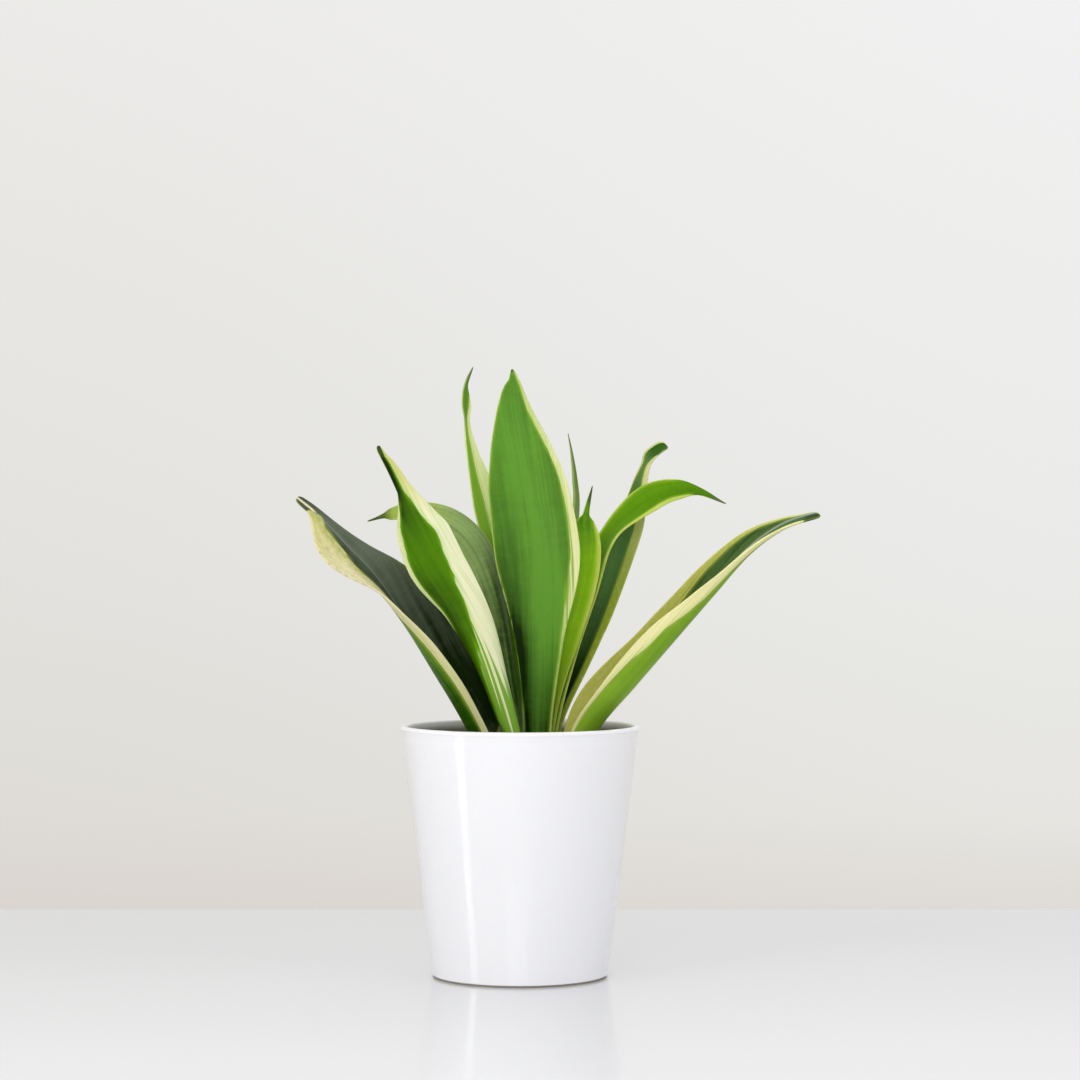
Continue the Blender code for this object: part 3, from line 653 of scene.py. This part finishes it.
leafRightUpright = {
    "node": "leaf_right_upright", "seed": 9,
    "spine": [(16, 23, 92), (16.5, 25, 120.5), (28.5, 30, 154), (39, 36, 181.5), (48.5, 42, 207),
              (57.5, 47, 232), (62.5, 51, 249.5), (66.5, 53, 259.5), (71, 54, 264),
              (75.8, 55, 266.5)],
    "left": [(0, 5), (0.2, 6), (0.5, 9), (0.75, 6), (0.86, 4), (0.92, 3.0), (0.945, 4.3),
             (0.985, 4.3), (1, 3.0)],
    "right": [(0, 5), (0.2, 6), (0.41, 9.2), (0.5, 10.2), (0.61, 10.3), (0.73, 10), (0.8, 7.8),
              (0.86, 5.2), (0.92, 3.4), (0.945, 4.5), (0.985, 4.5), (1, 3.0)],
    "turn": [(0, -25), (0.6, -8), (0.85, -20), (1, -50)],
    "foldLeft": [(0, 50), (1, 30)],
    "creamLeft": [(0, 0.5), (0.85, 0.3), (0.93, 0.8), (1, 1.2)],
    "creamRight": [(0, 1.8), (0.41, 3.4), (0.5, 4.4), (0.61, 4.8), (0.73, 5.2), (0.8, 4.4),
                   (0.9, 2.8), (0.94, 1.4), (0.96, 0), (1, 0)],
    "inner": ((82, 120, 62), (12, 40, 2)), "outer": ((74, 102, 50), (22, 46, 2)),
    "cream": (220, 220, 160), "lime": (142, 162, 48), "olive": (152, 168, 44), "tip": (46, 92, 14),
    "oliveLeft": [(0, 1), (0.8, 0.6), (0.9, 0), (1, 0)],
    "oliveRight": [(0, 1), (0.5, 1), (0.65, 0.8), (0.8, 0.4), (0.87, 0.05), (1, 0)],
    "paintedShading": [(0, 1), (0.2, 1), (0.33, 0.8), (0.5, 0.42), (0.68, 0.1), (0.85, 0.25), (0.93, 0.1),
             (1, 0.1)],
    "streaks": [(0, 0.3), (1, 0)],
    "veins": 1.8, "tipReach": 11.0,
}

leafRightOuter = {
    "node": "leaf_right_outer", "seed": 10,
    "spine": [(24.5, -1, 94), (37.5, -4, 122.5), (57, -11, 146), (76, -18, 168.5),
              (94.5, -25, 190.5), (112, -31, 211), (129, -36, 223.5), (146.5, -40, 229.5)],
    "left": [(0, 10), (0.12, 18), (0.25, 24), (0.4, 21.5), (0.6, 18), (0.8, 11.5), (0.93, 5),
             (0.985, 3.2), (1, 1.8)],
    "right": [(0, 10), (0.16, 15), (0.4, 19.5), (0.6, 13.5), (0.8, 7), (0.93, 4), (0.985, 3.2),
              (1, 1.8)],
    "turn": [(0, -90), (0.5, -88), (0.8, -70), (1, -60)],
    "foldLeft": [(0, 85), (0.16, 90), (0.5, 90), (0.8, 70), (1, 30)],
    "foldRight": [(0, 85), (0.5, 88), (0.8, 60), (1, 30)],
    "creamLeft": [(0, 10), (0.2, 14), (0.42, 10.5), (0.55, 6.6), (0.68, 3.2), (0.85, 1.3),
                  (1, 0.8)],
    "creamRight": [(0, 0.9), (0.15, 1.2), (0.3, 2.6), (0.45, 5.2), (0.6, 5.4), (0.72, 3.8),
                   (0.85, 2.6), (0.94, 2), (0.96, 0), (1, 0)],
    "inner": ((92, 128, 66), (12, 42, 0)), "outer": ((134, 176, 46), (70, 124, 0)),
    "cream": (240, 234, 176), "lime": (160, 178, 76), "olive": (190, 188, 88), "tip": (46, 74, 24),
    "oliveLeft": [(0, 1), (0.75, 1), (0.88, 0.6), (1, 0)],
    "oliveRight": [(0, 0.1), (1, 0)],
    "paintedShading": [(0, 0.2), (0.2, 0.1), (0.5, 0.3), (0.7, 0.2), (0.9, 0.25), (1, 0.6)],
    "paintedShadingLeft": [(0, 0), (0.4, 0.3), (0.55, 0.62), (0.8, 0.55), (1, 0.2)],
    "streaks": [(0, 0.3), (0.4, 0.15), (0.6, 0.3), (1, 0.1)],
    # this leaf has a painted highlight along its midrib
    "veins": 1.6, "ribHighlight": 0.8, "ribHighlightPlace": -2.6, "tipReach": 8.0,
}

leaves = [leafCenterTall, leafBackSlender, leafLeftTwisted, leafLeftDrooping, leafLeftOuter,
          leafBackSliver, leafCenterShort, leafRightDrooping, leafRightUpright, leafRightOuter]

nowhere = [(0, 0), (1, 0)]  # for a tone that a leaf doesn't state


def alongSpine(points, shares):
    # places and directions at shares of the length of a smooth curve through the points
    p = np.array(points, float)
    p = np.vstack([2 * p[0] - p[1], p, 2 * p[-1] - p[-2]])
    u = np.linspace(0, 1, blade["curveSteps"], endpoint=False)[:, None]
    run = [b + 0.5 * (c - a) * u + (a - 2.5 * b + 2 * c - 0.5 * d) * u**2
           + 0.5 * (3 * b - a - 3 * c + d) * u**3
           for a, b, c, d in zip(p, p[1:], p[2:], p[3:])]
    curve = np.vstack(run + [p[-2:-1]])
    legs = np.linalg.norm(np.diff(curve, axis=0), axis=1)
    travelled = np.concatenate([[0], np.cumsum(legs)])
    length = travelled[-1]

    def at(share):
        reached = np.clip(share, 0, 1) * length
        return np.stack([np.interp(reached, travelled, curve[:, k]) for k in range(3)], 1)

    forward = at(shares + blade["lookAhead"]) - at(shares - blade["lookAhead"])
    return at(shares), forward / np.linalg.norm(forward, axis=1)[:, None], length


def leafShape(leaf):
    tipFrom = blade["tipFrom"]
    shares = np.concatenate([np.linspace(0, tipFrom, blade["bodyStations"], endpoint=False),
                             1 - (1 - tipFrom) * np.linspace(1, 0, blade["tipStations"]) ** 1.5])
    centre, forward, length = alongSpine(leaf["spine"], shares)

    def along(pairs):
        return eased(pairs, shares)[:, None]

    level = np.cross((0, 1, 0), forward)
    level /= np.linalg.norm(level, axis=1)[:, None]
    turn = np.radians(along(leaf["turn"]))
    side = level * np.cos(turn) + np.cross(forward, level) * np.sin(turn)
    inward = np.cross(side, forward)

    # the very tip is rounded off
    past = (shares * length - (length - blade["tipRounding"])) / blade["tipRounding"]
    tipRound = np.sqrt(1 - np.clip(past, 0, 1) ** 2)[:, None]
    left = along(leaf["left"]) * tipRound
    right = along(leaf.get("right", leaf["left"])) * tipRound
    body = np.linspace(0, 1, blade["columns"])[None]
    rim = np.linspace(1, 0, blade["rimColumns"] + 1)[None, 1:] ** 2

    def reachFor(half):
        rimWidth = np.minimum(blade["rimWidth"], half * 0.4)
        full = np.maximum(half, 1e-9)
        return np.concatenate([body * (1 - rimWidth / full), 1 - rim * rimWidth / full], 1)

    across = np.concatenate([-reachFor(left)[:, ::-1], reachFor(right)[:, 1:]], 1)
    reach = np.abs(across)
    onLeft = across < 0
    half = np.where(onLeft, left, right)

    def bySide(first, second):
        return np.where(onLeft, along(first), along(second))

    # how far each point is inside the green, measured from both margins
    creamLeft = along(leaf["creamLeft"])
    creamRight = along(leaf["creamRight"])
    insideLeft = left + across * half - creamLeft
    insideRight = right - across * half - creamRight
    inside = np.minimum(insideLeft, insideRight)
    cream = np.where(insideLeft < insideRight, creamLeft, creamRight)

    # each half is an arc up to the bend share and straight beyond it
    bend = blade["bendShare"]
    fold = np.radians(bySide(leaf["foldLeft"], leaf.get("foldRight", leaf["foldLeft"])))
    angle = fold * np.minimum(reach / bend, 1)
    straight = half * np.maximum(reach - bend, 0)
    radius = bend * half / fold
    out = np.sign(across) * (radius * np.sin(angle) + straight * np.cos(fold))
    up = radius * (1 - np.cos(angle)) + straight * np.sin(fold)
    run = (shares * length)[:, None] + 0 * across
    phase = leaf["seed"] * 1.7 + np.where(onLeft, 0.0, 2.3)
    ripple = (0.65 * np.sin(run / blade["rippleLength"] + phase)
              + 0.35 * np.sin(run / blade["shortRipple"] + 2.7 * phase))
    up = up + blade["ripple"] * np.minimum(half / 10, 1) * reach**3 * ripple
    middle = centre[:, None] + side[:, None] * out[..., None] + inward[:, None] * up[..., None]
    tilt = np.sign(across) * np.sin(angle)
    normal = inward[:, None] * np.cos(angle)[..., None] - side[:, None] * tilt[..., None]

    # the blade is thickest in its middle and rounded at both margins
    gap = half * (1 - reach)
    thick = np.minimum(along(blade["thickness"]), 0.55 * (left + right))
    margin = np.minimum(blade["margin"], 0.8 * thick)
    nearMargin = np.clip(1 - gap / np.maximum(margin / 2, 1e-6), 0, 1)
    halfThick = (margin + (thick - margin) * (1 - reach**2.2)) / 2
    halfThick = halfThick * np.sqrt(1 - nearMargin**2) * tipRound
    inner = middle + normal * halfThick[..., None]
    outer = middle - normal * halfThick[..., None]

    # painted shade and light along the blade, and on each side stronger towards its margin
    paintedShadingSides = bySide(leaf.get("paintedShadingLeft", nowhere), leaf.get("paintedShadingRight", nowhere))
    olive = bySide(leaf.get("oliveLeft", nowhere), leaf.get("oliveRight", nowhere))
    return inner, outer, {
        "across": across * half, "run": run, "shares": shares[:, None] + 0 * across,
        "inside": inside, "cream": cream, "olive": olive,
        "paintedShading": along(leaf["paintedShading"]) + paintedShadingSides * reach,
    }


def store(mesh, name, *three):
    # three numbers at each point of the mesh, for the material to read
    values = np.stack([numbers.ravel() for numbers in three], 1).astype(np.float32)
    stores = mesh.attributes.new(name, "FLOAT_VECTOR", "POINT")
    stores.data.foreach_set("vector", values.ravel())


def leafMesh(leaf):
    inner, outer, tones = leafShape(leaf)
    rows, columns = tones["across"].shape
    ring = 2 * columns - 2

    def loop(innerValues, outerValues):
        # once round the blade at each station: the inner face, then back along the outer face
        return np.concatenate([innerValues, outerValues[:, -2:0:-1]], 1)

    points = loop(inner, outer).reshape(-1, 3) * mm
    k = np.arange(ring)
    after = (k + 1) % ring
    start = (np.arange(rows - 1) * ring)[:, None]
    quads = np.stack([start + k, start + after, start + ring + after, start + ring + k], -1)
    faces = quads.reshape(-1, 4).tolist()
    for k in range(columns - 1):
        corners = [k, (ring - k) % ring, (ring - k - 1) % ring, k + 1]
        faces.append(list(dict.fromkeys(corners)))
    mesh = bpy.data.meshes.new(leaf["node"])
    mesh.from_pydata(points.tolist(), [], faces)

    innerFace = np.zeros((rows, columns))
    innerFace[:, [0, -1]] = 0.5
    face = loop(innerFace, np.ones((rows, columns)))
    flat = {name: loop(values, values) for name, values in tones.items()}
    yellow = eased(leaf.get("yellow", nowhere), flat["shares"])
    streaks = eased(leaf.get("streaks", nowhere), flat["shares"])
    stripe = eased(leaf.get("stripe", nowhere), flat["shares"])
    toTip = flat["run"].max() - flat["run"]
    store(mesh, "leafPlace", flat["across"], flat["run"], 0 * flat["run"])
    store(mesh, "leafBand", flat["inside"], flat["cream"], face)
    # leafTone carries the painted shade and light, the yellow share and the olive share
    store(mesh, "leafTone", flat["paintedShading"], yellow, flat["olive"])
    store(mesh, "leafPaint", streaks, stripe, toTip)

    bm = bmesh.new()
    bm.from_mesh(mesh)
    bmesh.ops.remove_doubles(bm, verts=bm.verts, dist=blade["weld"] * mm)
    bmesh.ops.recalc_face_normals(bm, faces=bm.faces)
    bm.to_mesh(mesh)
    bm.free()
    mesh.shade_smooth()
    return mesh


def leafMaterial(leaf):
    material, tree, shader = newMaterial("leaf " + leaf["node"], blade["skin"])
    shift = (leaf["seed"] * 7.3, leaf["seed"] * 3.1, 0)
    place = stored(tree, "leafPlace")
    across = split(tree, place)[0]
    inside, creamWidth, face = split(tree, stored(tree, "leafBand"))
    paintedShading, yellow, olive = split(tree, stored(tree, "leafTone"))
    streaks, stripe, toTip = split(tree, stored(tree, "leafPaint"))
    isOuter = step(tree, face, 0.45, 0.55)

    # noises drawn out along the blade, in millimetres across and along it
    hairline = noiseAt(tree, place, (1.6, 0.022, 1), shift=shift)
    thread = noiseAt(tree, place, (1.0, 0.010, 1), detail=1, shift=shift)
    streak = noiseAt(tree, place, (0.55, 0.012, 1), shift=shift)
    broad = noiseAt(tree, place, (0.14, 0.016, 1), shift=shift)
    crossMark = noiseAt(tree, place, (0.07, 0.20, 1), detail=3, swirl=1.5, shift=shift)
    mottle = noiseAt(tree, place, (0.5, 0.35, 1), detail=3, shift=shift)
    blotch = noiseAt(tree, place, (0.30, 0.10, 1), detail=3, swirl=1.0, shift=shift)

    # the green: light and dark, in lines along the blade with faint marks across it, darkened by
    # painted shade between the leaves and near the soil and lightened by painted light where a leaf
    # states it
    light = mix(tree, isOuter, colour(*leaf["inner"][0]), colour(*leaf["outer"][0]))
    dark = mix(tree, isOuter, colour(*leaf["inner"][1]), colour(*leaf["outer"][1]))
    lime = colour(*leaf["lime"])
    veins = leaf.get("veins", 1.0)
    # the painted shade and light start the mix from light to dark green, and the leaf's own lines
    # and marks are added to it
    shade = paintedShading
    for noiseHere, share in ((hairline, 0.20), (streak, 0.36), (broad, 0.55), (crossMark, 0.18)):
        around = maths(tree, "SUBTRACT", noiseHere, 0.5)
        shade = maths(tree, "MULTIPLY_ADD", around, share * veins, shade)
    shade = maths(tree, "ADD", shade, 0.0, limit=True)
    yellowHere = maths(tree, "MULTIPLY", yellow, step(tree, streak, 0.35, 0.65, 0.6, 1.0))
    green = mix(tree, shade, mix(tree, yellowHere, light, lime), dark)

    # its border with the cream margin wanders and breaks up into long streaks
    border = blade["border"]
    creamPart = maths(tree, "MINIMUM", creamWidth, border["creamMost"])
    depth = inside
    for noiseHere, growth in ((broad, border["wander"]), (streak, border["ragged"])):
        sway = maths(tree, "MULTIPLY", maths(tree, "SUBTRACT", noiseHere, 0.5),
                     maths(tree, "MULTIPLY_ADD", creamPart, *growth))
        depth = maths(tree, "ADD", depth, sway)
    inGreen = step(tree, depth, -0.20, 0.20)
    nearCream = maths(tree, "MULTIPLY", step(tree, depth, border["limeWidth"], 0.0),
                      step(tree, creamWidth, 0.0, 0.6, 0.0, 0.5))
    green = mix(tree, nearCream, green, lime)
    tipReach = leaf["tipReach"]
    dry = step(tree, maths(tree, "MULTIPLY_ADD", mottle, 0.5 * tipReach, toTip),
               1.5 * tipReach, 0.9 * tipReach)
    green = mix(tree, dry, green, colour(*leaf["tip"]))

    # the cream: olive where the leaf says so, with green lines or blotches in it
    cream = mix(tree, olive, colour(*leaf["cream"]), colour(*leaf.get("olive", leaf["cream"])))
    cream = mix(tree, step(tree, hairline, 0.4, 0.75, 0.0, 0.35), cream, lime)
    bleedWidth, bleedShare = leaf.get("bleed", blade["bleed"])
    cream = mix(tree, step(tree, depth, -bleedWidth, 0.0, 0.0, bleedShare), cream, lime)
    cream = mix(tree, step(tree, mottle, 0.45, 0.8, 0.0, 0.15), cream, colour(*blade["ivory"]))
    marks, fine, coarse = blade["lines"], thread, streak
    if leaf.get("blotch"):
        marks, fine, coarse = blade["blotches"], mottle, blotch
    lines = maths(tree, "MULTIPLY_ADD", streaks, 0.24, step(tree, depth, -7.0, 0.0, -0.08, 0.03))
    pattern = maths(tree, "MULTIPLY_ADD", coarse, 0.3, maths(tree, "MULTIPLY", fine, 0.7))
    lines = step(tree, maths(tree, "ADD", pattern, lines),
                 marks["level"] - marks["softness"], marks["level"] + marks["softness"])
    lines = maths(tree, "MULTIPLY", lines, step(tree, streaks, 0.0, 0.1))
    lines = maths(tree, "MULTIPLY", lines, marks["strength"])
    cream = mix(tree, lines, cream, mix(tree, 0.25, green, lime))
    surface = mix(tree, inGreen, cream, green)

    # a painted highlight along the midrib inside some leaves, and a pale stripe at the tip of one
    if "ribHighlight" in leaf:
        offRib = maths(tree, "ABSOLUTE", maths(tree, "SUBTRACT", across, leaf["ribHighlightPlace"]))
        ribHighlightShare = maths(tree, "MULTIPLY", step(tree, offRib, 1.0, 0.3, 0.0, leaf["ribHighlight"]),
                    maths(tree, "SUBTRACT", 1.0, isOuter))
        surface = mix(tree, ribHighlightShare, surface, colour(*blade["ribHighlightColour"]))
    if "stripe" in leaf:
        offMiddle = maths(tree, "ABSOLUTE", across)
        pale = maths(tree, "MULTIPLY", stripe, step(tree, offMiddle, 1.1, 0.5))
        surface = mix(tree, pale, surface, colour(*leaf["cream"]))
    pores = noiseAt(tree, place, (2.2, 1.4, 1))
    height = maths(tree, "MULTIPLY_ADD", pores, 0.2, hairline)
    height = maths(tree, "MULTIPLY_ADD", streak, 0.8, height)
    dress(tree, shader, surface, step(tree, mottle, 0.25, 0.8, 0.32, 0.46), height, 0.00016)
    return material


for leaf in leaves:
    name = leaf["node"].replace("leaf_", "blade_")
    addPiece(name, leafMesh(leaf), [leafMaterial(leaf)], leaf["node"], "leaf")
print("leaves:", len(leaves), "blades with cream margins")


# soil: a lumpy fill with crumbs, bark chips and white grit on top

soil = {
    "level": 109.0, "crown": 3.0, "crownReach": 30.0, "crownCentre": (8, 8), "clearance": 0.3,
    "rings": 80, "segments": 220, "lumps": [(6.0, 0.8), (3.0, 0.7), (1.3, 0.35)],
    "seed": 5, "shapeCount": 12, "unevenness": 0.55, "wallGap": 4, "bladeHeights": (105, 116),
    "crumbs": {"count": 900, "smallest": 0.5, "largest": 1.9, "long": 1.0, "flat": 0.75},
    "chips": {"count": 90, "smallest": 1.0, "largest": 2.6, "long": 1.6, "flat": 0.35},
    "grit": {"count": 80, "smallest": 0.5, "largest": 1.3, "long": 1.0, "flat": 0.8},
    "brown": (62, 46, 36), "darkBrown": (36, 26, 20), "fibre": (124, 98, 72),
    "bark": (110, 76, 50), "darkBark": (74, 50, 34),
    "whiteGrit": (226, 220, 206), "greyGrit": (204, 196, 178),
}


def soilHeight(x, y):
    cx, cy = soil["crownCentre"]
    away = math.hypot(x - cx, y - cy) / soil["crownReach"]
    height = soil["level"] + soil["crown"] * math.exp(-away * away)
    for size, amount in soil["lumps"]:
        height += amount * noise.noise(Vector((x / size, y / size, size)))
    return height


def soilMaterial(name, first, second, grain):
    material, tree, shader = newMaterial(name, {})
    place = objectPlace(tree)
    clump = noiseAt(tree, place, [grain * 220] * 3, detail=4, rough=0.65)
    fibre = noiseAt(tree, place, [grain * 900] * 3, detail=3, rough=0.7)
    base = mix(tree, step(tree, clump, 0.35, 0.65), colour(*first), colour(*second))
    base = mix(tree, step(tree, fibre, 0.55, 0.8, 0.0, 0.35), base, colour(*soil["fibre"]))
    height = maths(tree, "MULTIPLY_ADD", fibre, 0.4, clump)
    dress(tree, shader, base, step(tree, clump, 0.3, 0.7, 0.72, 0.95), height, 0.0006)
    return material


def bitShapes():
    # a few uneven lumps of radius 1, to be sized and turned for each crumb
    bm = bmesh.new()
    bmesh.ops.create_icosphere(bm, subdivisions=2, radius=1.0)
    bm.verts.index_update()
    ball = [v.co.copy() for v in bm.verts]
    faces = np.array([[v.index for v in face.verts] for face in bm.faces])
    bm.free()

    def uneven(v, k):
        return v * (1 + soil["unevenness"] * noise.noise(v * 1.3 + Vector((5 * k, 3 * k, 0))))

    return [np.array([uneven(v, k) for v in ball]) for k in range(soil["shapeCount"])], faces


def soilBody():
    level, clearance = soil["level"], soil["clearance"]
    edge = innerRadius(level) - clearance
    cornerZ = pot["floor"] + pot["innerCorner"]
    cornerR = innerRadius(cornerZ) - pot["innerCorner"]
    floor = pot["floor"] + clearance
    wallHeights = np.linspace(cornerZ + 3, level - 3, 16)
    profile = [(0, floor), (cornerR, floor)]
    profile += arc(cornerR, cornerZ, pot["innerCorner"] - clearance, -90, 0, 8)[1:]
    profile += [(innerRadius(z) - clearance, z) for z in wallHeights]
    profile += [(edge * (1 - k / soil["rings"]), level) for k in range(soil["rings"] + 1)]
    mesh = turnedMesh("soil", profile, soil["segments"])
    for v in mesh.vertices:
        if v.co.z > (level - 1) * mm:
            v.co.z = soilHeight(v.co.x / mm, v.co.y / mm) * mm
    return mesh


def makeSoil():
    materials = [soilMaterial("potting soil", soil["brown"], soil["darkBrown"], 1.0),
                 soilMaterial("bark chips", soil["bark"], soil["darkBark"], 1.6),
                 soilMaterial("white grit", soil["whiteGrit"], soil["greyGrit"], 2.2)]
    body = soilBody()
    points = [np.array([v.co[:] for v in body.vertices])]
    faces = [list(face.vertices) for face in body.polygons]
    kinds = [0] * len(faces)
    filled = len(points[0])

    # where the blades come out of the soil, so that no lump sits inside one
    lowest, highest = [h * mm for h in soil["bladeHeights"]]
    blades = [piece for piece in bpy.data.objects if piece.name.startswith("blade_")]
    taken = np.array([v.co[:2] for piece in blades for v in piece.data.vertices
                      if lowest < v.co.z < highest])
    shapes, shapeFaces = bitShapes()
    widest = innerRadius(soil["level"]) - soil["wallGap"]
    pick = np.random.default_rng(soil["seed"])
    for kind, bits in enumerate((soil["crumbs"], soil["chips"], soil["grit"])):
        made = 0
        while made < bits["count"]:
            reach = widest * math.sqrt(pick.random())
            around = 2 * math.pi * pick.random()
            x, y = reach * math.cos(around), reach * math.sin(around)
            size = bits["smallest"] + (bits["largest"] - bits["smallest"]) * pick.random() ** 2
            tilts = (pick.uniform(-0.5, 0.5), pick.uniform(-0.5, 0.5), pick.uniform(0, 6.28))
            turn = np.array(Euler(tilts).to_matrix())
            stretch = size * np.array([bits["long"], 0.8, bits["flat"]])
            shape = shapes[pick.integers(len(shapes))] * stretch
            if np.hypot(*(taken - (x * mm, y * mm)).T).min() < size * 0.9 * mm:
                continue
            place = np.array([x, y, soilHeight(x, y) + size * bits["flat"] * 0.25])
            points.append((shape @ turn.T + place) * mm)
            faces += (shapeFaces + filled).tolist()
            kinds += [kind] * len(shapeFaces)
            filled += len(shape)
            made += 1

    mesh = bpy.data.meshes.new("potting soil")
    mesh.from_pydata(np.concatenate(points).tolist(), [], faces)
    mesh.polygons.foreach_set("material_index", kinds)
    mesh.shade_smooth()
    addPiece("potting_soil", mesh, materials, "soil", "potting_soil")


makeSoil()
print("soil: filled, with crumbs, chips and grit")


# rhizome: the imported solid, deep in the soil, with a papery skin

rhizome = {
    "flesh": {"Subsurface Weight": 0.05, "Subsurface Scale": 0.002},
    "skin": (196, 152, 92), "scar": (128, 88, 50), "root": (226, 196, 140),
}


def rhizomeMaterial():
    material, tree, shader = newMaterial("rhizome skin", rhizome["flesh"])
    place = objectPlace(tree)
    rings = noiseAt(tree, place, (60, 60, 420))
    grain = noiseAt(tree, place, (500, 500, 500), detail=3)
    base = mix(tree, step(tree, rings, 0.5, 0.62, 0.0, 0.8),
               colour(*rhizome["skin"]), colour(*rhizome["scar"]))
    base = mix(tree, step(tree, grain, 0.5, 0.8, 0.0, 0.5), base, colour(*rhizome["root"]))
    height = maths(tree, "MULTIPLY_ADD", grain, 0.3, rings)
    dress(tree, shader, base, step(tree, grain, 0.3, 0.7, 0.55, 0.75), height, 0.0004)
    return material


rhizomePiece = frame["nodes"]["rhizome"]
skinMaterial = rhizomeMaterial()
for materialSlot in rhizomePiece.material_slots:
    materialSlot.material = skinMaterial
print("rhizome: skin material")
